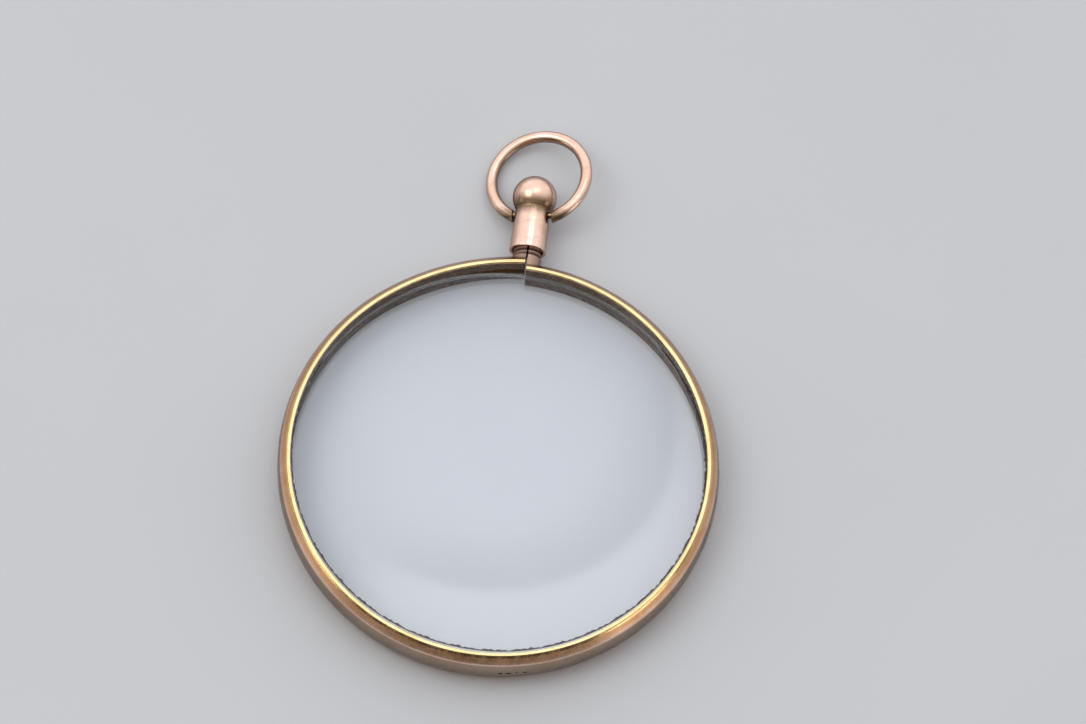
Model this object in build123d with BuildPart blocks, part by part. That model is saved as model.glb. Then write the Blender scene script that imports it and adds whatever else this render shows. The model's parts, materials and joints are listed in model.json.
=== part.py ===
from build123d import *
import math
import os

# A pendant quizzing glass: one lens in a split gold rim whose two ends carry the halves of a
# threaded stud. A screwed cap holds the halves together and carries a ball and a hanging bow.
#
# Millimetres. +Z is the viewing axis, front face up. +Y runs from the lens to the neck.
# The origin is on the viewing axis, in the plane that the back of the rim rests on.

# Rim: a drawn band of constant section, mirrored about its middle height.
RIM_HEIGHT = 4.7
MID_Z = RIM_HEIGHT / 2
RIM_INNER_R = 19.75
RIM_OUTER_R = 21.0
CREASE_R = 20.75
CREASE_H = 1.45
LIP_EDGE = 0.12
LAND_OUTER_R = 20.05
BEVEL_BULGE = 0.03
CREASE_FILLET = 0.08
WALL_BULGE = 0.06
GROOVE_R = 20.22
GROOVE_H = 0.68

# The split at the neck. The left end of the rim is sprung a little outwards.
SPLIT_X = 0.03
SPLIT_GAP = 0.18
SPRUNG_ANGLE = 40
SPRUNG_RADIUS = 23.6

# Lens: a periscopic reading lens with a 120 degree bevel, seated in the groove.
GLASS_INDEX = 1.523
FRONT_DIOPTRES = 2.5
BACK_DIOPTRES = 1.25
FRONT_R = 1000 * (GLASS_INDEX - 1) / FRONT_DIOPTRES
BACK_R = 1000 * (GLASS_INDEX - 1) / BACK_DIOPTRES
LENS_EDGE_H = 0.65
LENS_RIM_R = 20.12
LENS_SEAT_PLAY = 0.03

# Split stud: two threaded half-round posts, one soldered to each end of the rim. The thread
# is drawn as grooves one pitch apart, clear of the sleeve, so that the cap can travel freely.
# The left half is rooted further out, in the sprung end.
POST_ROOT_Y = 20.6
LEFT_ROOT_Y = 21.05
POST_TOP_Y = 25.9
POST_R = 1.38
POST_FOOT_R = 1.42
POST_TIP_CHAMFER = 0.2
THREAD_PITCH = 0.5
THREAD_DEPTH = 0.16
THREAD_WIDTH = 0.34
THREAD_Y = 21.95
THREAD_PLAY = 0.07

# Neck sleeve: a thin tube that screws down over the stud, a little flared at its mouth.
SLEEVE_BOTTOM_Y = 22.55
SLEEVE_TOP_Y = 27.03
SLEEVE_MOUTH_R = 1.77
SLEEVE_TOP_R = 1.68
SLEEVE_LIP = 0.06
SLEEVE_BORE_R = POST_R + THREAD_PLAY

# Ball finial, soldered on the sleeve's top end by a short spigot.
BALL_R = 2.14
BALL_Y = 28.33
SPIGOT_LENGTH = 0.17
SPIGOT_R = 1.3

# Bow: an open wire ring whose reduced ends turn in the sleeve's two side holes.
PIVOT_Y = 26.5
WIRE_R = 0.56
BOW_R = 4.69
BOW_REACH = 4.11
BOW_END_X = 1.97
BOW_SHIFT = 0.07
PIVOT_R = 0.3
PIVOT_PLAY = 0.06
PIVOT_INNER_X = 1.36
CAP_ROLL = 16.3
BOW_DROP = 4.9

# Four plain punch marks on the rim's outer wall, on the side away from the neck.
PUNCH_COUNT = 4
PUNCH_ANGLE = -79.3
PUNCH_STEP = 2.05
PUNCH_SIZE = 0.5
PUNCH_DEPTH = 0.08


def section_plane(angle):
    """The plane of the rim's section at an angle round the viewing axis: x out, y up."""
    turn = math.radians(angle)
    outward = (math.cos(turn), math.sin(turn), 0)
    around = (math.sin(turn), -math.cos(turn), 0)
    return Plane(origin=(0, 0, MID_Z), x_dir=outward, z_dir=around)


def rim_section(plane):
    """The rim's closed section on a plane whose x is the radius."""
    crease = (CREASE_R, CREASE_H)
    land = (LAND_OUTER_R, MID_Z)
    wall_middle = ((RIM_OUTER_R + CREASE_R) / 2 + WALL_BULGE, CREASE_H / 2)
    bevel_middle = (
        (CREASE_R + LAND_OUTER_R) / 2 + BEVEL_BULGE,
        (CREASE_H + MID_Z) / 2 + BEVEL_BULGE,
    )
    with BuildSketch(plane) as section:
        with BuildLine():
            ThreePointArc((RIM_OUTER_R, 0), wall_middle, crease)
            ThreePointArc(crease, bevel_middle, land)
            Polyline(
                land,
                (RIM_INNER_R + LIP_EDGE, MID_Z),
                (RIM_INNER_R, MID_Z - LIP_EDGE),
                (RIM_INNER_R, GROOVE_H),
                (GROOVE_R, 0),
            )
            mirror(about=Plane.XZ)
        make_face()
        creases = section.vertices().filter_by(lambda corner: abs(corner.X - CREASE_R) < 0.01)
        fillet(creases, CREASE_FILLET)
    return section.sketch


def punch_mark(index, angle):
    """One plain mark on the outer wall at an angle round the viewing axis."""
    turn = math.radians(angle)
    outward = (math.cos(turn), math.sin(turn), 0)
    around = (-math.sin(turn), math.cos(turn), 0)
    origin = (RIM_OUTER_R * math.cos(turn), RIM_OUTER_R * math.sin(turn), MID_Z)
    with BuildSketch(Plane(origin=origin, x_dir=around, z_dir=outward)) as mark:
        if index == 0:
            Circle(PUNCH_SIZE * 0.5)
        elif index == 1:
            Rectangle(PUNCH_SIZE * 0.9, PUNCH_SIZE * 0.9)
        elif index == 2:
            Rectangle(PUNCH_SIZE * 0.75, PUNCH_SIZE * 0.75, rotation=45)
        else:
            SlotOverall(PUNCH_SIZE * 1.1, PUNCH_SIZE * 0.7)
    return mark.sketch


# ---------------------------------------------------------------- rim
section_r = (RIM_INNER_R + RIM_OUTER_R) / 2
left_end_x = SPLIT_X - SPLIT_GAP / 2
right_end_x = SPLIT_X + SPLIT_GAP / 2
main_start = 90 + SPRUNG_ANGLE
main_sweep = 360 - SPRUNG_ANGLE - math.degrees(math.asin(right_end_x / section_r))
sprung_shift = section_r - SPRUNG_RADIUS
sprung_centre = (
    sprung_shift * math.cos(math.radians(main_start)),
    sprung_shift * math.sin(math.radians(main_start)),
)
sprung_end = math.degrees(math.acos((left_end_x - sprung_centre[0]) / SPRUNG_RADIUS))

with BuildPart() as rim:
    revolve(rim_section(section_plane(main_start)), axis=Axis.Z, revolution_arc=main_sweep)
    revolve(
        rim_section(section_plane(main_start)),
        axis=Axis((*sprung_centre, 0), (0, 0, -1)),
        revolution_arc=main_start - sprung_end,
    )
    first_punch = PUNCH_ANGLE - PUNCH_STEP * (PUNCH_COUNT - 1) / 2
    for index in range(PUNCH_COUNT):
        mark = punch_mark(index, first_punch + index * PUNCH_STEP)
        extrude(mark, amount=PUNCH_DEPTH, both=True, mode=Mode.SUBTRACT)
rim.part.label = "rim"

# ---------------------------------------------------------------- lens
bevel_slope = GROOVE_H / (GROOVE_R - RIM_INNER_R)
lens_bevel_r = GROOVE_R - LENS_SEAT_PLAY
lens_face_r = lens_bevel_r - LENS_EDGE_H / bevel_slope
lens_tip_h = (lens_bevel_r - LENS_RIM_R) * bevel_slope
front_top = LENS_EDGE_H + FRONT_R - math.sqrt(FRONT_R**2 - lens_face_r**2)
back_top = -LENS_EDGE_H + BACK_R - math.sqrt(BACK_R**2 - lens_face_r**2)

with BuildPart() as lens:
    with BuildSketch(section_plane(0)):
        with BuildLine():
            RadiusArc((0, front_top), (lens_face_r, LENS_EDGE_H), FRONT_R)
            Polyline(
                (lens_face_r, LENS_EDGE_H),
                (LENS_RIM_R, lens_tip_h),
                (LENS_RIM_R, -lens_tip_h),
                (lens_face_r, -LENS_EDGE_H),
            )
            RadiusArc((lens_face_r, -LENS_EDGE_H), (0, back_top), -BACK_R)
            Line((0, back_top), (0, front_top))
        make_face()
    revolve(axis=Axis.Z)
lens.part.label = "lens"

# ---------------------------------------------------------------- split stud
def neck_plane(y):
    """A plane across the neck at a distance from the viewing axis, its z towards the ball."""
    return Plane(origin=(0, y, MID_Z), x_dir=(1, 0, 0), z_dir=(0, 1, 0))


neck_axis = Axis((0, 0, MID_Z), (0, 1, 0))
thread_count = int((POST_TOP_Y - POST_TIP_CHAMFER - THREAD_Y) / THREAD_PITCH) + 1

with BuildPart() as stud:
    with BuildSketch(neck_plane(POST_ROOT_Y)):
        Circle(POST_R)
    extrude(amount=POST_TOP_Y - POST_ROOT_Y)
    chamfer(edges().sort_by(Axis.Y)[-1], POST_TIP_CHAMFER)
    with BuildSketch(neck_plane(POST_ROOT_Y)):
        Circle(POST_FOOT_R)
    extrude(amount=THREAD_Y - THREAD_WIDTH / 2 - POST_ROOT_Y)
    with BuildSketch(Plane.XY.offset(MID_Z)):
        with Locations(*[(POST_R, THREAD_Y + turn * THREAD_PITCH) for turn in range(thread_count)]):
            Polygon(
                (0, -THREAD_WIDTH / 2),
                (THREAD_DEPTH, 0),
                (0, THREAD_WIDTH / 2),
                (-THREAD_DEPTH, 0),
            )
    revolve(axis=neck_axis, mode=Mode.SUBTRACT)

with BuildPart() as left_half_post:
    add(stud.part)
    split(bisect_by=Plane(origin=(left_end_x, 0, 0), z_dir=(-1, 0, 0)), keep=Keep.TOP)
    split(bisect_by=Plane(origin=(0, LEFT_ROOT_Y, 0), z_dir=(0, 1, 0)), keep=Keep.TOP)
    add(rim.part, mode=Mode.SUBTRACT)
left_half_post.part.label = "left_half_post"

with BuildPart() as right_half_post:
    add(stud.part)
    split(bisect_by=Plane(origin=(right_end_x, 0, 0), z_dir=(1, 0, 0)), keep=Keep.TOP)
    add(rim.part, mode=Mode.SUBTRACT)
right_half_post.part.label = "right_half_post"

# ---------------------------------------------------------------- cap: sleeve, ball and bow
roll = math.radians(CAP_ROLL)
pivot_axis = Vector(math.cos(roll), 0, math.sin(roll))
cap_up = Vector(-math.sin(roll), 0, math.cos(roll))
drop = math.radians(BOW_DROP)
bow_out = Vector(0, math.cos(drop), 0) - cap_up * math.sin(drop)
pivot_point = Vector(0, PIVOT_Y, MID_Z)
bow_centre = pivot_point + bow_out * BOW_REACH + pivot_axis * BOW_SHIFT

with BuildPart() as neck_sleeve:
    with BuildSketch(neck_plane(SLEEVE_BOTTOM_Y)):
        Circle(SLEEVE_MOUTH_R)
    with BuildSketch(neck_plane(SLEEVE_TOP_Y)):
        Circle(SLEEVE_TOP_R)
    loft()
    with BuildSketch(neck_plane(SLEEVE_BOTTOM_Y)):
        Circle(SLEEVE_BORE_R)
    extrude(amount=SLEEVE_TOP_Y - SLEEVE_BOTTOM_Y, mode=Mode.SUBTRACT)
    mouth = faces().sort_by(Axis.Y)[0].outer_wire().edges()
    fillet(mouth, SLEEVE_LIP)
    with BuildSketch(Plane(origin=pivot_point, z_dir=pivot_axis)):
        Circle(PIVOT_R + PIVOT_PLAY)
    extrude(amount=2 * SLEEVE_MOUTH_R, both=True, mode=Mode.SUBTRACT)
neck_sleeve.part.label = "neck_sleeve"

with BuildPart() as ball_finial:
    with Locations((0, BALL_Y, MID_Z)):
        Sphere(BALL_R)
    split(bisect_by=Plane(origin=(0, SLEEVE_TOP_Y, 0), z_dir=(0, 1, 0)), keep=Keep.TOP)
    with BuildSketch(neck_plane(SLEEVE_TOP_Y)):
        Circle(SPIGOT_R)
    extrude(amount=-SPIGOT_LENGTH)
ball_finial.part.label = "ball_finial"

bow_plane = Plane(origin=pivot_point, x_dir=pivot_axis, z_dir=pivot_axis.cross(bow_out))
with BuildPart() as bow:
    with BuildSketch(Plane(origin=bow_centre + pivot_axis * BOW_R, x_dir=pivot_axis, z_dir=bow_out)):
        Circle(WIRE_R)
    revolve(axis=Axis(bow_centre, bow_plane.z_dir))
    with BuildSketch(bow_plane):
        with Locations((BOW_SHIFT, 0)):
            Rectangle(2 * BOW_END_X, 2 * BOW_REACH - 1)
    extrude(amount=2 * WIRE_R, both=True, mode=Mode.SUBTRACT)
    for side in (-1, 1):
        inner = pivot_point + pivot_axis * (side * PIVOT_INNER_X)
        with BuildSketch(Plane(origin=inner, z_dir=pivot_axis * side)):
            Circle(PIVOT_R)
        extrude(amount=BOW_END_X + side * BOW_SHIFT - PIVOT_INNER_X + WIRE_R / 2)
bow.part.label = "bow"

os.makedirs("parts", exist_ok=True)
for piece in (rim, lens, left_half_post, right_half_post, neck_sleeve, ball_finial, bow):
    export_step(piece.part, f"parts/{piece.part.label}.step")
    print(piece.part.label, round(piece.part.volume, 4), len(piece.part.solids()), piece.part.is_valid)
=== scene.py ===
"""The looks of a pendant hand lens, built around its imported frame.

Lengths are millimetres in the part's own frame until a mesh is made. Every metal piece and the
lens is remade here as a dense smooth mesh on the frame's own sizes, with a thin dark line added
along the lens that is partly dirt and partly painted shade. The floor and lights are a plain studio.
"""
import json
import math

import bmesh
import bpy
from mathutils import Matrix, Vector


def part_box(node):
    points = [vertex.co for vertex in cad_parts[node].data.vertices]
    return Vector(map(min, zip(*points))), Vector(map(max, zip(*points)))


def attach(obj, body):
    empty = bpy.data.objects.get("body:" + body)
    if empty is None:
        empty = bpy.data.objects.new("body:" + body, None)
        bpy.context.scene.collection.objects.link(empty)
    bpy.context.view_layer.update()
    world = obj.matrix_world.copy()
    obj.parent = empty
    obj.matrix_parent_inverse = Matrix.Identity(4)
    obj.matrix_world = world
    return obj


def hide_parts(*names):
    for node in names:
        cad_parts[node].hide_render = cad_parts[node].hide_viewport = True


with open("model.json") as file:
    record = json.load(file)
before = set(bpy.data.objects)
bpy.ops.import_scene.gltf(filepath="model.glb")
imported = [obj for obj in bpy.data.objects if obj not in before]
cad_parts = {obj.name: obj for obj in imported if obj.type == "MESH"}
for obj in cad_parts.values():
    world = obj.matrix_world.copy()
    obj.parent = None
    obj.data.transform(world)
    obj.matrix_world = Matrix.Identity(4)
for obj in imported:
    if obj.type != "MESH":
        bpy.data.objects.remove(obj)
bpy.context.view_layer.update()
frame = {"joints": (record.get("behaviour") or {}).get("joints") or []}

MM = 0.001


def extent(node):
    """(lowest corner, highest corner) of a CAD node in millimetres."""
    low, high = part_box(node)
    return low / MM, high / MM


def joint(name):
    """(point, axis) of a joint, the point in millimetres."""
    found = next(j for j in frame["joints"] if j["name"] == name)
    return Vector(found.get("pos_m", (0, 0, 0))) / MM, Vector(found["axis"]).normalized()


# ------------------------------------------------------------------ sizes taken from the frame
rim_low, rim_high = extent("rim")
lens_high = extent("lens")[1]
sleeve_low, sleeve_high = extent("neck_sleeve")
ball_low, ball_high = extent("ball_finial")
post_high = extent("right_half_post")[1]
pivot_point, pivot_axis = joint("bow_swing")

RIM_R = -rim_low.y
RIM_HEIGHT = rim_high.z - rim_low.z
MID_Z = (rim_high.z + rim_low.z) / 2
LENS_R = lens_high.x
LENS_FRONT = lens_high.z - MID_Z
MOUTH_Y = sleeve_low.y
SEAM_Y = sleeve_high.y
MOUTH_R = (sleeve_high.x - sleeve_low.x) / 2
BALL_R = (ball_high.x - ball_low.x) / 2
BALL_Y = ball_high.y - BALL_R
POST_TOP_Y = post_high.y

# ------------------------------------------------------------------ sizes the boxes don't show
# The rim's section, as radii from the viewing axis and heights from its middle plane.
RIM_INNER_R = 19.75
CREASE_R = 20.75
CREASE_H = 1.45
LAND_OUTER_R = 20.05
LAND_ROUND = 0.02
LIP_ROUND = 0.12
RIDGE = (CREASE_R - 0.03, CREASE_H + 0.05)
SHOULDER = (20.27, 2.13)
SHOULDER_PULL = (20.16, 2.27)
GROOVE_R = 20.22
GROOVE_H = 0.68
WALL_ROW = 0.025
WALL_FINE_ROWS = 18
WALL_COARSE_ROWS = 8
CREASE_ROUND = 0.08

# The band round the lens: its two ends part at the neck, and the left one springs outward over
# the last SPRUNG_ANGLE degrees. The turns are the degrees between the sections of its mesh.
SECTION_R = (RIM_INNER_R + RIM_R) / 2
SPLIT_X = 0.03
SPLIT_GAP = 0.18
SPRUNG_ANGLE = 40
SPRUNG_RADIUS = 23.6
SPRUNG_STEPS = 54
PLAIN_TURN = 0.75
PUNCHED_TURN = 0.07
# Each wave of the hand-bent band: its size, how many there are in one turn, how far they lean
# with height, and where they start.
HAND_WAVES = (
    (0.010, 3, 0, 1.1),
    (0.007, 7, 0, 0.4),
    (0.0035, 19, 0.9, 0),
    (0.002, 43, -1.7, 0),
)
HAND_SHARE = 0.6
HAND_SWAY = 0.5

LENS_EDGE_H = 0.65
LENS_FACE_R = 19.74
LENS_TIP_H = 0.1
LENS_CENTRE_T = 1.77
LENS_ARRIS_R = 0.03
LENS_ARRIS_H = 0.05

# The neck: radii are from its own axis, which runs along Y.
POST_R = 1.38
POST_FOOT_R = 1.42
POST_ROOT_Y = 20.6
LEFT_ROOT_Y = 21.05
THREAD_FROM_Y = 21.78
THREAD_PITCH = 0.5
THREAD_DEPTH = 0.16
THREAD_FLANKS = 0.85
THREAD_RUN_IN = 0.15
POST_BEVEL = 0.2
SLEEVE_TOP_R = 1.68
SLEEVE_BORE_R = 1.45
SLEEVE_LIP = 0.07
SLEEVE_ROW = 0.14
SLEEVE_ROWS = 31
BORE_THREAD_SHARE = 0.3
BORE_THREAD_END = (25.8, 26.0)
BORE_FLARE = 0.08
BORE_FLARE_H = 0.12
BEAD_ANGLE = 0.16
BEAD_PROUD = 0.012
BEAD_DOWN = 0.22
SPIGOT_R = 1.3
NECK_SEGMENTS = 120

# The bow: an open hoop of wire, and the pivots on its ends.
WIRE_R = 0.56
BOW_R = 4.69
BOW_REACH = 4.11
BOW_SHIFT = 0.07
BOW_DROP = math.radians(4.9)
BOW_END = 1.97
BOW_PAST_END = 0.35
BOW_END_ROUND = 0.05
PIN_R = 0.3
PIN_INNER = 1.36
PIN_ROUND = 0.04
PIVOT_HOLE_R = 0.36

# The dark line: a strip along the lens, partly dirt and partly painted shade, from one angle over a
# sweep, both in degrees. It lies further in where the near lip would hide it.
GRIME_SHADE_LIFT = 0.004
GRIME_SHADE_T = 0.014
GRIME_SHADE_W = 0.085
GRIME_SHADE_LEAST_W = 0.015
GRIME_SHADE_FROM = -205
GRIME_SHADE_SWEEP = 250
GRIME_SHADE_STEPS = 1500
GRIME_SHADE_FULL_FROM = 500
GRIME_SHADE_FULL_TO = 1380
GRIME_SHADE_LIP_TUCK = 0.74

# The punch marks: their angles are degrees, and PUNCH_ROOM is what either side of them is meshed
# finely.
PUNCH_ANGLE = -79.3
PUNCH_ROOM = 4.6
PUNCH_ROWS_H = 0.5
PUNCH_STEP = 2.05
PUNCH_SIZE = 0.5
PUNCH_DEPTH = 0.08


# ------------------------------------------------------------------ small numeric helpers
def blend_points(a, b, c, count):
    """Points on a smooth bend from a to c that leans towards b, without its last point."""
    points = []
    for step in range(count):
        t = step / count
        x = (1 - t) ** 2 * a[0] + 2 * t * (1 - t) * b[0] + t * t * c[0]
        y = (1 - t) ** 2 * a[1] + 2 * t * (1 - t) * b[1] + t * t * c[1]
        points.append((x, y))
    return points


def line_points(a, b, count):
    """Evenly spaced points from a towards b, without b."""
    return [
        (a[0] + (b[0] - a[0]) * step / count, a[1] + (b[1] - a[1]) * step / count)
        for step in range(count)
    ]


def smooth_step(value, low, high):
    """A smooth change from 0 to 1 as the value goes from low to high."""
    t = min(max((value - low) / (high - low), 0), 1)
    return t * t * (3 - 2 * t)


# ------------------------------------------------------------------ mesh helpers
def finish_mesh(name, bm, body, slot, *nodes, sharp=35):
    """A piece from a bmesh in millimetres: smooth, sharp only at real edges, riding on a body."""
    bmesh.ops.recalc_face_normals(bm, faces=bm.faces)
    limit = math.radians(sharp)
    for edge in bm.edges:
        if len(edge.link_faces) == 2:
            edge.smooth = edge.calc_face_angle(0) < limit
    for face in bm.faces:
        face.smooth = True
    bmesh.ops.scale(bm, vec=(MM, MM, MM), verts=bm.verts)
    mesh = bpy.data.meshes.new(name)
    bm.to_mesh(mesh)
    bm.free()
    piece = bpy.data.objects.new(name, mesh)
    bpy.context.scene.collection.objects.link(piece)
    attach(piece, body)
    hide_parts(*nodes)
    return piece


def skin(bm, rings, wrap=False):
    """Quads between rings of equal length. Each ring is closed; wrap joins last to first."""
    made = [[bm.verts.new(point) for point in ring] for ring in rings]
    pairs = list(zip(made, made[1:]))
    if wrap:
        pairs.append((made[-1], made[0]))
    for first, second in pairs:
        for i in range(len(first)):
            j = (i + 1) % len(first)
            bm.faces.new((first[i], first[j], second[j], second[i]))
    return made


def lathe(profile, to_world, segments):
    """Rings about an axis, one for each profile point. to_world(radius, height, angle)."""
    return [
        [to_world(r, h, 2 * math.pi * i / segments) for i in range(segments)] for r, h in profile
    ]


# ------------------------------------------------------------------ rim
def rim_half_profile():
    """The upper half of the rim's section as (radius, height), from the outside to the groove."""
    top = RIM_HEIGHT / 2

    def wall(h):
        return RIM_R - (RIM_R - CREASE_R) * (h / CREASE_H) ** 2, h

    fine_h = WALL_ROW * WALL_FINE_ROWS
    coarse_h = CREASE_H - CREASE_ROUND - fine_h
    fine = [wall(WALL_ROW * row) for row in range(WALL_FINE_ROWS)]
    coarse = [wall(fine_h + coarse_h * row / WALL_COARSE_ROWS) for row in range(WALL_COARSE_ROWS + 1)]
    crease = blend_points(coarse[-1], (CREASE_R + 0.004, CREASE_H), RIDGE, 7)
    land_edge = (LAND_OUTER_R + LAND_ROUND, top - LAND_ROUND / 2)
    bevel = line_points(RIDGE, SHOULDER, 8) + blend_points(SHOULDER, SHOULDER_PULL, land_edge, 9)
    land = blend_points(
        land_edge, (LAND_OUTER_R - LAND_ROUND, top), (LAND_OUTER_R - 3 * LAND_ROUND, top), 3
    )
    lip = blend_points((RIM_INNER_R + LIP_ROUND, top), (RIM_INNER_R, top),
                       (RIM_INNER_R, top - LIP_ROUND), 6)
    inner = line_points((RIM_INNER_R, top - LIP_ROUND), (RIM_INNER_R, GROOVE_H), 8)
    groove = line_points((RIM_INNER_R, GROOVE_H), (GROOVE_R, 0), 3)
    return fine + coarse[:-1] + crease + bevel + land + lip + inner + groove


def rim_profile():
    """The whole closed section, round from the outer wall's middle."""
    upper = rim_half_profile()
    lower = [(r, -h) for r, h in reversed(upper[1:])]
    return upper + [(GROOVE_R, 0)] + lower


def mark_depth(arc, h, index):
    """How deep a punch mark is at a place on the wall, from its own centre. The four are a dot,
    a square, a lozenge and a bar."""
    half = PUNCH_SIZE / 2
    if index == 0:
        inside = half - math.hypot(arc, h)
    elif index == 1:
        inside = half * 0.9 - max(abs(arc), abs(h))
    elif index == 2:
        inside = (half * 1.06 - abs(arc) - abs(h)) * 0.7
    else:
        along = max(abs(arc) - half * 0.4, 0)
        inside = half * 0.7 - math.hypot(along, h)
    return PUNCH_DEPTH * smooth_step(inside, -0.01, 0.05)


def punch_depth(angle, h):
    """How deep the row of four marks is at a place on the outer wall."""
    deepest = 0
    for index in range(4):
        centre = PUNCH_ANGLE + PUNCH_STEP * (index - 1.5)
        arc = math.radians(angle - centre) * RIM_R
        deepest = max(deepest, mark_depth(arc, h, index))
    return deepest


def handwork(turn, h):
    """The slight waviness of a hand-bent, hand-polished band, in millimetres."""
    return sum(
        size * math.sin(count * turn + lean * h + start)
        for size, count, lean, start in HAND_WAVES
    )


def rim_stations():
    """(centre, radial shift, angle in degrees) along the band, from its right end to its left."""
    right_x = SPLIT_X + SPLIT_GAP / 2
    left_x = SPLIT_X - SPLIT_GAP / 2
    first = 90 - math.degrees(math.asin(right_x / SECTION_R))
    joint_angle = 90 + SPRUNG_ANGLE - 360
    above, below = PUNCH_ANGLE + PUNCH_ROOM, PUNCH_ANGLE - PUNCH_ROOM
    spans = [
        (first, above, PLAIN_TURN),
        (above, below, PUNCHED_TURN),
        (below, joint_angle, PLAIN_TURN),
    ]
    stations = []
    for start, end, step in spans:
        count = round((start - end) / step)
        for i in range(count):
            stations.append(((0, 0), 0, start + (end - start) * i / count))
    shift = SPRUNG_RADIUS - SECTION_R
    turn = math.radians(joint_angle)
    centre = (-shift * math.cos(turn), -shift * math.sin(turn))
    end = math.degrees(math.acos((left_x - centre[0]) / SPRUNG_RADIUS)) - 360
    for i in range(SPRUNG_STEPS + 1):
        stations.append((centre, shift, joint_angle + (end - joint_angle) * i / SPRUNG_STEPS))
    return stations


def make_rim():
    """The split band. Each vertex keeps its radius in the section, which its material reads."""
    section = rim_profile()
    rings = []
    for centre, shift, angle in rim_stations():
        turn = math.radians(angle)
        ring = []
        for r, h in section:
            out = r + shift
            near_marks = abs(h) < PUNCH_ROWS_H and abs(angle - PUNCH_ANGLE) < PUNCH_ROOM
            if r > CREASE_R and near_marks:
                out -= punch_depth(angle, h)
            if r > RIM_INNER_R + 0.05:
                out += handwork(turn, h) * HAND_SHARE
            sway = HAND_SWAY * handwork(turn * 1.3 + 2, r) * (abs(h) / (RIM_HEIGHT / 2)) ** 2
            up = h + sway if math.copysign(1, h) > 0 else h
            x = centre[0] + out * math.cos(turn)
            y = centre[1] + out * math.sin(turn)
            ring.append((x, y, MID_Z + up))
        rings.append(ring)
    bm = bmesh.new()
    section_radius = bm.verts.layers.float.new("section_radius")
    made = skin(bm, rings)
    for ring in made:
        for vert, (r, _) in zip(ring, section):
            vert[section_radius] = r
    bm.faces.new(made[0])
    bm.faces.new(made[-1])
    return finish_mesh("gold_rim", bm, "glass", "rim_gold", "rim", sharp=40)


# ------------------------------------------------------------------ lens
def make_lens():
    """The glass: two shallow domes with an edge ground to a blunt V that sits in the groove."""

    def place(r, h, angle):
        return (r * math.cos(angle), r * math.sin(angle), MID_Z + h)

    def dome(edge_h, centre_h, rings):
        points = []
        for step in range(rings + 1):
            r = LENS_FACE_R * step / rings
            points.append((r, centre_h + (edge_h - centre_h) * (r / LENS_FACE_R) ** 2))
        return points

    front = dome(LENS_EDGE_H, LENS_FRONT, 40)
    back = dome(-LENS_EDGE_H, LENS_FRONT - LENS_CENTRE_T, 40)
    arris_r, arris_h = LENS_FACE_R + LENS_ARRIS_R, LENS_EDGE_H - LENS_ARRIS_H
    edge = [(arris_r, arris_h), (LENS_R, LENS_TIP_H), (LENS_R, -LENS_TIP_H), (arris_r, -arris_h)]
    profile = front[1:] + edge + list(reversed(back[1:]))
    rings = lathe(profile, place, 256)
    bm = bmesh.new()
    made = skin(bm, rings)
    for ring, height in ((made[0], LENS_FRONT), (made[-1], LENS_FRONT - LENS_CENTRE_T)):
        middle = bm.verts.new((0, 0, MID_Z + height))
        for i in range(len(ring)):
            bm.faces.new((middle, ring[i], ring[(i + 1) % len(ring)]))
    return finish_mesh("reading_lens", bm, "glass", "lens_glass", "lens", sharp=25)


def make_grime_and_shade_line():
    """A ragged dark hairline on the front of the lens, along the lower lip: partly dried polish and
    partly painted shade at the lip. Where the line thins away it breaks, so it is a row of closed
    strips."""
    bm = bmesh.new()
    underside = MID_Z + LENS_EDGE_H + GRIME_SHADE_LIFT
    slope = (LENS_FRONT - LENS_EDGE_H) / LENS_FACE_R**2
    run = []
    for step in range(GRIME_SHADE_STEPS + 1):
        turn = math.radians(GRIME_SHADE_FROM + GRIME_SHADE_SWEEP * step / GRIME_SHADE_STEPS)
        shade = max(0, -math.sin(turn))
        ripple = math.sin(37 * turn) + math.sin(83 * turn + 1) + math.sin(191 * turn + 2)
        speck = math.sin(419 * turn) * math.sin(263 * turn + 0.7)
        width = GRIME_SHADE_W + 0.024 * ripple + 0.07 * max(0, speck)
        growing = smooth_step(step, 0, GRIME_SHADE_FULL_FROM)
        fading = smooth_step(step, GRIME_SHADE_FULL_TO, GRIME_SHADE_STEPS)
        width *= 0.35 + growing * (1 - fading)
        outer = RIM_INNER_R - 0.02 - GRIME_SHADE_LIP_TUCK * shade
        if width >= GRIME_SHADE_LEAST_W:
            ring = []
            for r, up in ((outer - width, 0), (outer + 0.03, 0), (outer + 0.03, GRIME_SHADE_T),
                          (outer - width, GRIME_SHADE_T)):
                z = underside + up + slope * (LENS_FACE_R**2 - r**2)
                ring.append((r * math.cos(turn), r * math.sin(turn), z))
            run.append(ring)
        if run and (width < GRIME_SHADE_LEAST_W or step == GRIME_SHADE_STEPS):
            if len(run) > 1:
                made = skin(bm, run)
                bm.faces.new(made[0])
                bm.faces.new(made[-1])
            run = []
    return finish_mesh("edge_grime_and_shade", bm, "glass", "rim_gold")


# ------------------------------------------------------------------ neck pieces
def neck_place(r, y, angle):
    """A place about the neck's axis."""
    return (r * math.cos(angle), y, MID_Z + r * math.sin(angle))


def thread_cut(y, angle, start):
    """How far the helical thread is cut in at a height and angle, from 0 to THREAD_DEPTH."""
    phase = ((y - start) / THREAD_PITCH + angle / (2 * math.pi)) % 1
    cut = THREAD_DEPTH * (1 - min(abs(phase - 0.5) * 2 / THREAD_FLANKS, 1))
    return cut * smooth_step(y, start, start + THREAD_RUN_IN)


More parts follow.
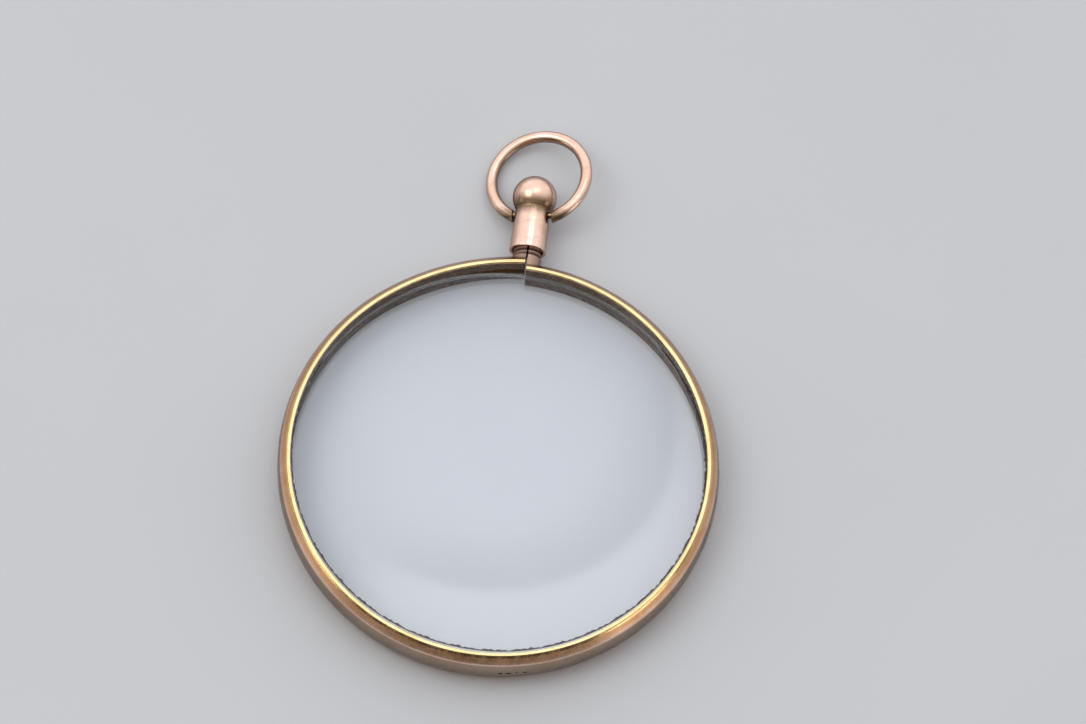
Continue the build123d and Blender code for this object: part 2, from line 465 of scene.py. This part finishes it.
def make_post(name, node, side):
    """One half of the split stud: side is -1 for the left half and 1 for the right."""
    flat_x = SPLIT_X + side * SPLIT_GAP / 2
    root_y = LEFT_ROOT_Y if side < 0 else POST_ROOT_Y
    rows, columns = 230, 40
    rings = []
    for row in range(rows + 1):
        y = root_y + (POST_TOP_Y - root_y) * row / rows
        base = POST_FOOT_R if y < THREAD_FROM_Y else POST_R
        tip = POST_BEVEL * smooth_step(y, POST_TOP_Y - POST_BEVEL, POST_TOP_Y)
        spread = math.acos(side * flat_x / base)
        ring = []
        for column in range(columns + 1):
            share = column / columns * 2 - 1
            angle = share * spread
            if side < 0:
                angle = math.pi - angle
            r = base - tip - thread_cut(y, angle, THREAD_FROM_Y)
            x, _, z = neck_place(r, y, angle)
            x = flat_x if abs(share) == 1 else x
            ring.append((x, y, z))
        rings.append(ring)
    bm = bmesh.new()
    made = skin(bm, rings)
    bm.faces.new(made[0])
    bm.faces.new(made[-1])
    return finish_mesh(name, bm, "glass", "stud_gold", node)


def bore_through(bm, point, axis, radius, length):
    """The same mesh with a round hole bored right through it, centred on a point."""
    drill_bm = bmesh.new()
    bmesh.ops.create_cone(
        drill_bm, cap_ends=True, segments=48, radius1=radius, radius2=radius, depth=length
    )
    turn = axis.to_track_quat("Z", "Y").to_matrix().to_4x4()
    bmesh.ops.transform(drill_bm, matrix=Matrix.Translation(point) @ turn, verts=drill_bm.verts)
    blanks = []
    for name, source in (("bore_blank", bm), ("bore_drill", drill_bm)):
        bmesh.ops.recalc_face_normals(source, faces=source.faces)
        mesh = bpy.data.meshes.new(name)
        source.to_mesh(mesh)
        source.free()
        blank = bpy.data.objects.new(name, mesh)
        bpy.context.scene.collection.objects.link(blank)
        blanks.append(blank)
    cut = blanks[0].modifiers.new("bore", "BOOLEAN")
    cut.operation = "DIFFERENCE"
    cut.solver = "EXACT"
    cut.object = blanks[1]
    depsgraph = bpy.context.evaluated_depsgraph_get()
    result = bpy.data.meshes.new_from_object(blanks[0].evaluated_get(depsgraph))
    bored = bmesh.new()
    bored.from_mesh(result)
    for mesh in [blank.data for blank in blanks] + [result]:
        bpy.data.meshes.remove(mesh)
    return bored


def make_sleeve():
    """The thin tube: rounded mouth, tapered wall, a threaded bore and two pivot holes."""
    taper = (SLEEVE_TOP_R - MOUTH_R) / (SEAM_Y - MOUTH_Y)
    heights = [MOUTH_Y + SLEEVE_LIP + SLEEVE_ROW * row for row in range(SLEEVE_ROWS)]
    wall = [(MOUTH_R + taper * (y - MOUTH_Y), y) for y in heights]
    mouth = blend_points((SLEEVE_BORE_R + 0.1, MOUTH_Y), (MOUTH_R, MOUTH_Y), wall[0], 6)
    outer = lathe(wall + [(SLEEVE_TOP_R, SEAM_Y)], neck_place, NECK_SEGMENTS)
    inner = []
    rows = 200
    for row in range(rows + 1):
        y = SEAM_Y + (MOUTH_Y - SEAM_Y) * row / rows
        threaded = 1 - smooth_step(y, *BORE_THREAD_END)
        flare = BORE_FLARE * (1 - smooth_step(y, MOUTH_Y, MOUTH_Y + BORE_FLARE_H))
        ring = []
        for i in range(NECK_SEGMENTS):
            angle = 2 * math.pi * i / NECK_SEGMENTS
            cut = thread_cut(y, angle, MOUTH_Y + THREAD_RUN_IN) * threaded * BORE_THREAD_SHARE
            ring.append(neck_place(SLEEVE_BORE_R + cut + flare, y, angle))
        inner.append(ring)
    lip = lathe(mouth, neck_place, NECK_SEGMENTS)
    bm = bmesh.new()
    skin(bm, outer + inner + lip, wrap=True)
    bm = bore_through(bm, pivot_point, pivot_axis, PIVOT_HOLE_R, 3 * MOUTH_R)
    return finish_mesh("cap_sleeve", bm, "cap", "cap_gold", "neck_sleeve")


def make_ball():
    """The ball with its bead of solder running down onto the sleeve."""
    profile = []
    steps = 72
    seam_angle = math.pi - math.asin(min(SLEEVE_TOP_R / BALL_R, 1))
    for step in range(1, steps + 1):
        angle = (seam_angle - BEAD_ANGLE) * step / steps
        profile.append((BALL_R * math.sin(angle), BALL_Y + BALL_R * math.cos(angle)))
    foot = (SLEEVE_TOP_R + BEAD_PROUD, SEAM_Y - BEAD_DOWN)
    bead = blend_points(profile[-1], (SLEEVE_TOP_R + 0.03, SEAM_Y + 0.02), foot, 9)
    under = (SLEEVE_TOP_R - 0.05, SEAM_Y - BEAD_DOWN - 0.01)
    profile += bead[1:] + [foot, under, (SPIGOT_R, SEAM_Y - 0.17)]
    rings = lathe(profile, neck_place, NECK_SEGMENTS)
    bm = bmesh.new()
    made = skin(bm, rings)
    top = bm.verts.new((0, BALL_Y + BALL_R, MID_Z))
    for i in range(NECK_SEGMENTS):
        bm.faces.new((top, made[0][i], made[0][(i + 1) % NECK_SEGMENTS]))
    bm.faces.new(made[-1])
    return finish_mesh("finial_ball", bm, "cap_ball", "cap_gold", "ball_finial")


def bow_frame():
    """(out, normal, centre) of the bow as it lies at rest."""
    cap_up = pivot_axis.cross(Vector((0, 1, 0))).normalized()
    out = Vector((0, 1, 0)) * math.cos(BOW_DROP) - cap_up * math.sin(BOW_DROP)
    centre = pivot_point + out * BOW_REACH + pivot_axis * BOW_SHIFT
    return out, pivot_axis.cross(out), centre


def bow_end(ring, side, end_angle, out):
    """Rings that close one end of the hoop: the wire is cut square to the pivot, and steps down to
    the thin pin that enters the sleeve."""
    turn = side * end_angle
    tangent = (pivot_axis * math.cos(turn) + out * math.sin(turn)) * -side
    plane_x = BOW_SHIFT + side * BOW_END
    face_centre = pivot_point + pivot_axis * plane_x
    tip = pivot_point + pivot_axis * (side * PIN_INNER)
    cut, inset, pin_root, pin_tip, pin_end = [], [], [], [], []
    for point in ring:
        x = (point - pivot_point).dot(pivot_axis)
        moved = point + tangent * ((plane_x - x) / tangent.dot(pivot_axis))
        arm = moved - face_centre
        arm -= pivot_axis * arm.dot(pivot_axis)
        arm.normalize()
        cut.append(moved - tangent * BOW_END_ROUND)
        inset.append(moved + (face_centre - moved) * 0.1)
        pin_root.append(face_centre + arm * PIN_R)
        pin_tip.append(tip + pivot_axis * side * PIN_ROUND + arm * PIN_R)
        pin_end.append(tip + arm * (PIN_R - PIN_ROUND))
    return [cut, inset, pin_root, pin_tip, pin_end]


def make_bow():
    """The wire ring: an open hoop whose two ends are the pivots."""
    out, normal, centre = bow_frame()
    around = 32
    end_angle = math.asin((BOW_END + BOW_PAST_END) / BOW_R)
    count = 150
    rings = []
    for step in range(count + 1):
        turn = end_angle + (2 * math.pi - 2 * end_angle) * step / count
        radial = pivot_axis * math.sin(turn) - out * math.cos(turn)
        wire = WIRE_R * (1 + 0.012 * math.sin(5 * turn + 0.6) + 0.008 * math.sin(13 * turn))
        ring = []
        for i in range(around):
            spin = 2 * math.pi * i / around
            offset = radial * math.cos(spin) * wire + normal * math.sin(spin) * wire * 0.98
            ring.append(centre + radial * (BOW_R + 0.01 * math.sin(3 * turn)) + offset)
        rings.append(ring)
    first = bow_end(rings[0], 1, end_angle, out)
    last = bow_end(rings[-1], -1, end_angle, out)
    bm = bmesh.new()
    made = skin(bm, list(reversed(first)) + rings + last)
    bm.faces.new(made[0])
    bm.faces.new(made[-1])
    return finish_mesh("wire_bow", bm, "bow", "bow_gold", "bow")


# ------------------------------------------------------------------ materials
class Shading:
    """The emptied node tree of a material or world, with short calls for the nodes it needs."""

    def __init__(self, owner):
        owner.use_nodes = True
        self.owner = owner
        self.tree = owner.node_tree
        self.tree.nodes.clear()

    @classmethod
    def material(cls, name):
        return cls(bpy.data.materials.new(name))

    def node(self, kind, inputs=(), **settings):
        made = self.tree.nodes.new(kind)
        for key, value in settings.items():
            setattr(made, key, value)
        for key, value in dict(inputs).items():
            socket = made.inputs[key]
            if isinstance(value, bpy.types.NodeSocket):
                self.tree.links.new(value, socket)
            else:
                socket.default_value = value
        return made

    def math(self, operation, a, b=0.0, c=0.0):
        return self.node("ShaderNodeMath", {0: a, 1: b, 2: c}, operation=operation).outputs[0]

    def times(self, a, b):
        return self.math("MULTIPLY", a, b)

    def less(self, a, b):
        return self.math("SUBTRACT", a, b)

    def length(self, a, b):
        """The length of the flat vector (a, b)."""
        return self.math("SQRT", self.math("ADD", self.times(a, a), self.times(b, b)))

    def noise(self, vector, scale, detail=3.0, roughness=0.5):
        made = self.node(
            "ShaderNodeTexNoise",
            {"Vector": vector, "Scale": scale, "Detail": detail, "Roughness": roughness},
        )
        return made.outputs["Fac"]

    def spread(self, value, low, high, to_low=0.0, to_high=1.0):
        """A smooth change from to_low to to_high as the value goes from low to high."""
        made = self.node(
            "ShaderNodeMapRange",
            {"Value": value, "From Min": low, "From Max": high, "To Min": to_low, "To Max": to_high},
            interpolation_type="SMOOTHSTEP",
        )
        return made.outputs["Result"]

    def mix(self, factor, a, b, blend_type="MIX"):
        made = self.node(
            "ShaderNodeMix", {0: factor, 6: a, 7: b}, data_type="RGBA", blend_type=blend_type
        )
        return made.outputs[2]

    def surface(self, shader):
        """Ends the tree with this shader, and gives the material."""
        self.node("ShaderNodeOutputMaterial", {"Surface": shader})
        return self.owner

    def millimetres(self):
        """The place on the piece in millimetres, which travels with it."""
        place = self.node("ShaderNodeTexCoord").outputs["Object"]
        scaled = self.node("ShaderNodeVectorMath", {0: place, 3: 1000.0}, operation="SCALE")
        return scaled.outputs[0]

    def split(self, vector):
        return self.node("ShaderNodeSeparateXYZ", {0: vector}).outputs

    def join(self, x, y, z):
        return self.node("ShaderNodeCombineXYZ", {0: x, 1: y, 2: z}).outputs[0]


# Metals, as their own colours, and last the outer wall's painted reflection.
YELLOW = (0.91, 0.66, 0.34, 1)
ROSE = (0.88, 0.61, 0.49, 1)
PALE_ROSE = (0.93, 0.66, 0.54, 1)
STUD_ROSE = (0.52, 0.36, 0.28, 1)
ORANGE = (0.80, 0.47, 0.25, 1)
WALL_PAINTED_REFLECTION = (0.36, 0.29, 0.215, 1)
# Films, dirt, wear, and painted shade and reflection.
INNER_WALL_PAINTED_SHADE = (0.13, 0.065, 0.028, 1)
MAUVE = (0.28, 0.245, 0.24, 1)
BROWN = (0.16, 0.085, 0.045, 1)
OLIVE = (0.15, 0.095, 0.038, 1)
SOOT = (0.035, 0.025, 0.018, 1)
EDGE_PAINTED_SHADE = (0.26, 0.19, 0.15, 1)
WORN_SHADE = (0.90, 0.83, 0.76, 1)
DUST_AND_SHADE_DARK = (0.05, 0.04, 0.035, 1)
DUST_AND_SHADE_LIGHT = (0.16, 0.14, 0.13, 1)
# The glass, and the floor under it.
GLASS_TINT = (0.96, 0.98, 1.0, 1)
GLASS_SHADOW = (0.95, 0.96, 0.97, 1)
CROWN_GLASS_IOR = 1.523
FLOOR_DARK = (0.50, 0.515, 0.53, 1)
FLOOR_LIGHT = (0.53, 0.545, 0.56, 1)
# Where the rim's colours change: radii in its section, and heights from its middle plane.
YELLOW_TO_ORANGE_R = (20.1, 20.35)
ORANGE_TO_ROSE_R = (20.45, CREASE_R)
WALL_FROM_R = (20.6, 20.72)
WALL_TO_H = (1.3, 1.42)
GROOVE_TO_R = (20.25, 20.35)
GROOVE_TO_H = (0.7, 0.8)
INNER_TO_R = (19.76, 19.84)
PAINTED_SHADE_TO_H = 1.95
MARK_DEPTH = (0.035, 0.07)
MARK_TO_H = 0.38
GRAIN_R = 20.0
GRAIN_FINE = 22.0


def gold(shading, colour, dirt_and_shade, grain, place, rough=0.17, dull=0.0, haze=0.3):
    """Worn polished gold. Colour and dirt_and_shade vary over it; the latter is dirt in some places
    and painted shade in others. Grain is the place stretched along the polishing direction, dull is
    where a flat painted shade hides the metal and haze is how thick its brown film may get."""
    patches = shading.noise(place, 0.35, 4.0, 0.6)
    tint = shading.mix(shading.spread(patches, 0.35, 0.7), colour, WORN_SHADE, "MULTIPLY")
    film = shading.spread(shading.noise(place, 1.1, 5.0, 0.6), 0.5, 0.85, 0, haze)
    tint = shading.mix(film, tint, BROWN)
    # Painted shade: the colour darkens where the surface is seen edge-on, standing for the dark
    # reflections along its edges.
    edge = shading.node("ShaderNodeLayerWeight", {"Blend": 0.5}).outputs["Facing"]
    tint = shading.mix(shading.spread(edge, 0.3, 0.95, 0, 0.9), tint, EDGE_PAINTED_SHADE, "MULTIPLY")
    tint = shading.mix(dirt_and_shade, tint, SOOT)
    scratches = shading.noise(grain, 1.0, 2.0, 0.5)
    smears = shading.noise(place, 0.9, 4.0, 0.7)
    gloss = shading.math("MULTIPLY_ADD", shading.spread(smears, 0.4, 0.75), 0.16, rough)
    gloss = shading.math("MULTIPLY_ADD", shading.spread(scratches, 0.55, 0.8), 0.12, gloss)
    gloss = shading.math("MULTIPLY_ADD", dirt_and_shade, 0.4, gloss)
    dents = shading.noise(place, 1.1, 2.0, 0.5)
    relief = shading.math("MULTIPLY_ADD", scratches, 0.10, dents)
    bump = shading.node(
        "ShaderNodeBump", {"Strength": 0.22, "Distance": 0.00003, "Height": relief}
    )
    shader = shading.node(
        "ShaderNodeBsdfPrincipled",
        {
            "Base Color": tint,
            "Metallic": shading.less(1.0, dull) if dull else 1.0,
            "Specular IOR Level": 0.1,
            "Roughness": gloss,
            "Normal": bump.outputs[0],
        },
    )
    return shading.surface(shader.outputs[0])


def rim_gold():
    """Yellow on the lip and rose on the bevel; a painted reflection darkens the outer wall, and
    painted shade darkens the inner wall and the gap between the ends. The punch marks are darker too.
    """
    shading = Shading.material("worn_rim_gold")
    place = shading.millimetres()
    x, y, z = shading.split(place)[:3]
    radius = shading.node("ShaderNodeAttribute", attribute_name="section_radius").outputs["Fac"]
    arc = shading.times(shading.math("ARCTAN2", y, x), GRAIN_R)
    grain = shading.join(
        shading.times(arc, 0.35),
        shading.times(radius, GRAIN_FINE),
        shading.times(z, GRAIN_FINE),
    )
    height = shading.math("ABSOLUTE", shading.less(z, MID_Z))
    colour = shading.mix(shading.spread(radius, *YELLOW_TO_ORANGE_R), YELLOW, ORANGE)
    colour = shading.mix(shading.spread(radius, *ORANGE_TO_ROSE_R), colour, ROSE)
    # Painted reflection: the outer wall below the crease is darkened towards a dull brown, standing
    # for the dark floor it mirrors and its shade near the floor.
    wall = shading.times(
        shading.spread(height, *WALL_TO_H, 1, 0), shading.spread(radius, *WALL_FROM_R)
    )
    colour = shading.mix(shading.times(wall, 0.85), colour, WALL_PAINTED_REFLECTION)
    groove = shading.times(
        shading.spread(height, *GROOVE_TO_H, 1, 0), shading.spread(radius, *GROOVE_TO_R, 1, 0)
    )
    inner = shading.math("MAXIMUM", groove, shading.spread(radius, *INNER_TO_R, 1, 0))
    # Painted shade: the inner wall and groove go dark and flat up to a ragged line below the lip,
    # standing for the shade inside the band.
    ragged = shading.math("MULTIPLY_ADD", shading.noise(place, 1.4, 4.0, 0.7), 0.3, PAINTED_SHADE_TO_H)
    below_lip = shading.spread(shading.less(height, ragged), -0.12, 0.1, 1, 0)
    inner_painted_shade = shading.times(inner, below_lip)
    colour = shading.mix(shading.times(inner_painted_shade, 0.93), colour, INNER_WALL_PAINTED_SHADE)
    low = shading.times(inner, shading.spread(z, MID_Z - 0.7, MID_Z - 0.3, 1, 0))
    colour = shading.mix(shading.times(low, 0.9), colour, MAUVE)
    depth = shading.spread(shading.less(radius, shading.length(x, y)), *MARK_DEPTH)
    on_wall = shading.times(shading.math("LESS_THAN", height, MARK_TO_H), wall)
    punched = shading.times(shading.times(depth, on_wall), 0.85)
    # Painted shade: the gap between the band's ends and the lip beside it go dark, standing for the
    # shade down in the gap.
    off_gap = shading.math("ABSOLUTE", shading.less(x, SPLIT_X))
    in_gap = shading.math("LESS_THAN", off_gap, SPLIT_GAP / 2 + 0.015)
    in_gap = shading.times(in_gap, shading.math("GREATER_THAN", y, 0.0))
    dirt_and_shade = shading.math("MAXIMUM", punched, shading.times(in_gap, 0.9))
    dull = shading.times(inner_painted_shade, 0.3)
    return gold(shading, colour, dirt_and_shade, grain, place, rough=0.2, dull=dull, haze=0.14)


def neck_gold(name, colour, seam, rough=0.19, hoop=None):
    """Rose gold for what lies about the neck: it goes olive near seam, partly a solder film and partly
    painted shade, and the inner side of a hoop about the given centre is darkened as painted shade."""
    shading = Shading.material(name)
    place = shading.millimetres()
    x, y, z = shading.split(place)[:3]
    grain = shading.join(shading.times(x, 14.0), shading.times(y, 0.8), shading.times(z, 14.0))
    # Darker olive near the seam: partly a solder film, partly painted shade under the ball and at the
    # bow's pivots.
    near = shading.math("ABSOLUTE", shading.less(y, seam))
    wander = shading.math("MULTIPLY_ADD", shading.noise(place, 1.6, 4.0, 0.6), 0.5, -0.2)
    film = shading.spread(shading.math("ADD", near, wander), 0.2, 1.4, 1, 0)
    if hoop:
        # Painted shade and reflection: the inner side of the hoop is darkened for the dark things it
        # mirrors and the shade there.
        apart = shading.node("ShaderNodeVectorMath", {0: place, 1: hoop}, operation="DISTANCE")
        inside = shading.spread(apart.outputs["Value"], BOW_R - 0.5, BOW_R - 0.1, 0.8, 0)
        film = shading.math("MAXIMUM", film, inside)
    tint = shading.mix(shading.times(film, 0.88), colour, OLIVE)
    dirt_and_shade = shading.times(shading.spread(near, 0.02, 0.16, 1, 0), 0.5)
    return gold(shading, tint, dirt_and_shade, grain, place, rough)


def stud_gold():
    """Dull rose gold, darker in the thread's roots, with a painted shadow over the left half,
    which lies in the sleeve's shade.
    """
    shading = Shading.material("tarnished_stud_gold")
    place = shading.millimetres()
    x, y, z = shading.split(place)[:3]
    grain = shading.join(shading.times(x, 3.0), shading.times(y, 14.0), shading.times(z, 3.0))
    radius = shading.length(x, shading.less(z, MID_Z))
    dirt_and_shade = shading.spread(radius, POST_R - THREAD_DEPTH, POST_R - 0.01, 0.85, 0.2)
    # Painted shadow: the left half is darkened for the sleeve's shade on it.
    left_painted_shadow = shading.times(shading.math("LESS_THAN", x, SPLIT_X), 0.45)
    dirt_and_shade = shading.math("MAXIMUM", dirt_and_shade, left_painted_shadow)
    return gold(shading, STUD_ROSE, dirt_and_shade, grain, place, rough=0.3)


def lens_glass():
    """Clear polished glass, ground at its edge, that lets light through to what is behind it."""
    shading = Shading.material("reading_lens_glass")
    place = shading.millimetres()
    x, y, _ = shading.split(place)[:3]
    ground = shading.spread(shading.length(x, y), LENS_FACE_R - 0.02, LENS_FACE_R + 0.04)
    smears = shading.spread(shading.noise(place, 0.12, 5.0, 0.7), 0.55, 0.8, 0, 0.006)
    gloss = shading.math("MULTIPLY_ADD", ground, 0.4, smears)
    glass = shading.node(
        "ShaderNodeBsdfPrincipled",
        {
            "Base Color": GLASS_TINT,
            "Roughness": gloss,
            "IOR": CROWN_GLASS_IOR,
            "Transmission Weight": 1.0,
        },
    )
    clear = shading.node("ShaderNodeBsdfTransparent", {"Color": GLASS_SHADOW})
    shadow = shading.node("ShaderNodeLightPath").outputs["Is Shadow Ray"]
    both = shading.node("ShaderNodeMixShader", {0: shadow, 1: glass.outputs[0], 2: clear.outputs[0]})
    return shading.surface(both.outputs[0])


def dust_and_shade_material():
    """Dry grey-brown dirt, which along the lower lip also stands for painted shade."""
    shading = Shading.material("dried_polish_and_painted_shade")
    tone = shading.mix(shading.noise(shading.millimetres(), 3.0), DUST_AND_SHADE_DARK, DUST_AND_SHADE_LIGHT)
    shader = shading.node("ShaderNodeBsdfPrincipled", {"Base Color": tone, "Roughness": 0.9})
    return shading.surface(shader.outputs[0])


def wear(piece, material):
    """Gives a piece its material."""
    piece.data.materials.clear()
    piece.data.materials.append(material)


# ------------------------------------------------------------------ studio
# The camera looks down at the part, and is swung sideways and rolled a little.
CAMERA_TILT = math.radians(23.33)
CAMERA_TURN = math.radians(1.73)
CAMERA_ROLL = math.radians(5.72)
CAMERA_DISTANCE = 735.5
CAMERA_AIM = Vector((2.88, 11.38, MID_Z))
CAMERA_LENS = 255.25


def make_camera():
    level = Vector((-math.sin(CAMERA_TURN), math.cos(CAMERA_TURN), 0))
    up = Vector((0, 0, 1))
    forward = level * math.sin(CAMERA_TILT) - up * math.cos(CAMERA_TILT)
    head = level * math.cos(CAMERA_TILT) + up * math.sin(CAMERA_TILT)
    right = forward.cross(head)
    tilted_right = right * math.cos(CAMERA_ROLL) + head * math.sin(CAMERA_ROLL)
    tilted_head = head * math.cos(CAMERA_ROLL) - right * math.sin(CAMERA_ROLL)
    turn = Matrix((tilted_right, tilted_head, -forward)).transposed()
    data = bpy.data.cameras.new("camera")
    data.lens = CAMERA_LENS
    data.sensor_width = 36
    data.clip_start = 0.01
    data.clip_end = 20
    camera = bpy.data.objects.new("camera", data)
    place = (CAMERA_AIM - forward * CAMERA_DISTANCE) * MM
    camera.matrix_world = Matrix.Translation(place) @ turn.to_4x4()
    bpy.context.scene.collection.objects.link(camera)
    bpy.context.scene.camera = camera


def soft_lamp(name, place, width, height, watts, colour):
    """A rectangular lamp that faces the part."""
    data = bpy.data.lights.new(name, "AREA")
    data.shape = "RECTANGLE"
    data.size = width
    data.size_y = height
    data.energy = watts
    data.color = colour
    lamp = bpy.data.objects.new(name, data)
    lamp.location = place
    lamp.rotation_euler = (-Vector(place)).to_track_quat("-Z", "Y").to_euler()
    bpy.context.scene.collection.objects.link(lamp)


# Each lamp's name, its place, width and height in metres, its watts and its colour.
LAMPS = (
    ("key", (-0.5, 0.0, 0.75), 0.5, 0.5, 1.5, (1.0, 0.97, 0.94)),
    ("window", (0.85, -0.42, 0.13), 0.45, 0.2, 0.8, (1.0, 0.95, 0.92)),
    ("doorway", (-0.85, -0.36, 0.14), 0.3, 0.15, 0.3, (1.0, 0.95, 0.92)),
)

# The sky: LEAN points to its brightest part. MIRROR_AXIS points to the part that the lens's face
# mirrors, with a glow about it and, on the side of MIRROR_SIDE, a dim ring and then a bright one.
# SIDE_START is the cosine to MIRROR_SIDE over which that side begins. The pairs after it are where
# the glow and the rings start or fade, in degrees off MIRROR_AXIS.
LEAN = Vector((-0.08, 0.62, 0.78))
MIRROR_AXIS = Vector((-0.026, 0.415, 0.909))
MIRROR_SIDE = Vector((0.707, -0.64, 0.29))
SIDE_START = (-0.01, 0.09)
GLOW_FADE = (5.0, 11.0)
DIM_START = (5.5, 9.3)
BRIGHT_START = (9.6, 10.8)
BRIGHT_FADE = (15, 24)
SKY_POWER = 1.2
BRIGHT_POWER = 1.5
GLOW_POWER = 0.9
DIM_POWER = -0.9
LAVENDER = (0.80, 0.86, 1.0, 1)
# The sky's tones, from the darkest way to the brightest.
SKY_STOPS = (
    (0.00, (0.030, 0.024, 0.020)),
    (0.38, (0.045, 0.036, 0.030)),
    (0.52, (0.26, 0.235, 0.215)),
    (0.62, (0.62, 0.59, 0.57)),
    (0.80, (0.90, 0.90, 0.93)),
    (1.00, (0.97, 0.97, 1.00)),
)


def make_world():
    """A soft studio: bright overhead and at the back, dark in front, with one brighter edge of
    sky that the glass picks up along one side."""
    world = bpy.data.worlds.new("studio")
    bpy.context.scene.world = world
    shading = Shading(world)
    way = shading.node("ShaderNodeTexCoord").outputs["Generated"]

    def along(axis):
        made = shading.node(
            "ShaderNodeVectorMath", {0: way, 1: axis.normalized()}, operation="DOT_PRODUCT"
        )
        return made.outputs["Value"]

    ramp = shading.node("ShaderNodeValToRGB", {0: shading.math("MULTIPLY_ADD", along(LEAN), 0.5, 0.5)})
    stops = ramp.color_ramp.elements
    stops[0].color = (*SKY_STOPS[0][1], 1)
    stops[-1].color = (*SKY_STOPS[-1][1], 1)
    for position, tone in SKY_STOPS[1:-1]:
        stops.new(position).color = (*tone, 1)
    off_axis = shading.math("DEGREES", shading.math("ARCCOSINE", along(MIRROR_AXIS)))
    side = shading.spread(along(MIRROR_SIDE), *SIDE_START)
    edge = shading.spread(off_axis, *BRIGHT_START)
    beyond = shading.spread(off_axis, *BRIGHT_FADE, 1, 0)
    bright = shading.times(shading.times(edge, beyond), side)
    before = shading.spread(off_axis, *DIM_START)
    dim = shading.times(shading.times(before, shading.less(1.0, edge)), side)
    glow = shading.spread(off_axis, *GLOW_FADE, 1, 0)
    power = shading.math("MULTIPLY_ADD", bright, BRIGHT_POWER, SKY_POWER)
    power = shading.math("MULTIPLY_ADD", glow, GLOW_POWER, power)
    power = shading.math("MULTIPLY_ADD", dim, DIM_POWER, power)
    tone = shading.mix(shading.times(glow, 0.8), ramp.outputs[0], LAVENDER)
    background = shading.node("ShaderNodeBackground", {"Color": tone, "Strength": power})
    shading.node("ShaderNodeOutputWorld", {"Surface": background.outputs[0]})


def make_floor():
    bm = bmesh.new()
    bmesh.ops.create_grid(bm, x_segments=1, y_segments=1, size=1.5)
    mesh = bpy.data.meshes.new("floor")
    bm.to_mesh(mesh)
    bm.free()
    floor = bpy.data.objects.new("floor", mesh)
    floor.location.z = rim_low.z * MM
    bpy.context.scene.collection.objects.link(floor)
    shading = Shading.material("pale_floor")
    place = shading.millimetres()
    tone = shading.mix(shading.noise(place, 0.03, 3.0), FLOOR_DARK, FLOOR_LIGHT)
    shader = shading.node("ShaderNodeBsdfPrincipled", {"Base Color": tone, "Roughness": 0.8})
    wear(floor, shading.surface(shader.outputs[0]))


# ------------------------------------------------------------------ the scene
cap_metal = neck_gold("worn_cap_gold", PALE_ROSE, SEAM_Y)
bow_metal = neck_gold("worn_bow_gold", PALE_ROSE, pivot_point.y - 0.35, hoop=bow_frame()[2])
stud_metal = stud_gold()
wear(make_rim(), rim_gold())
wear(make_lens(), lens_glass())
wear(make_grime_and_shade_line(), dust_and_shade_material())
wear(make_post("left_stud_half", "left_half_post", -1), stud_metal)
wear(make_post("right_stud_half", "right_half_post", 1), stud_metal)
wear(make_sleeve(), cap_metal)
wear(make_ball(), cap_metal)
wear(make_bow(), bow_metal)
make_camera()
make_world()
make_floor()
for lamp_facts in LAMPS:
    soft_lamp(*lamp_facts)
bpy.context.scene.view_settings.view_transform = "Standard"
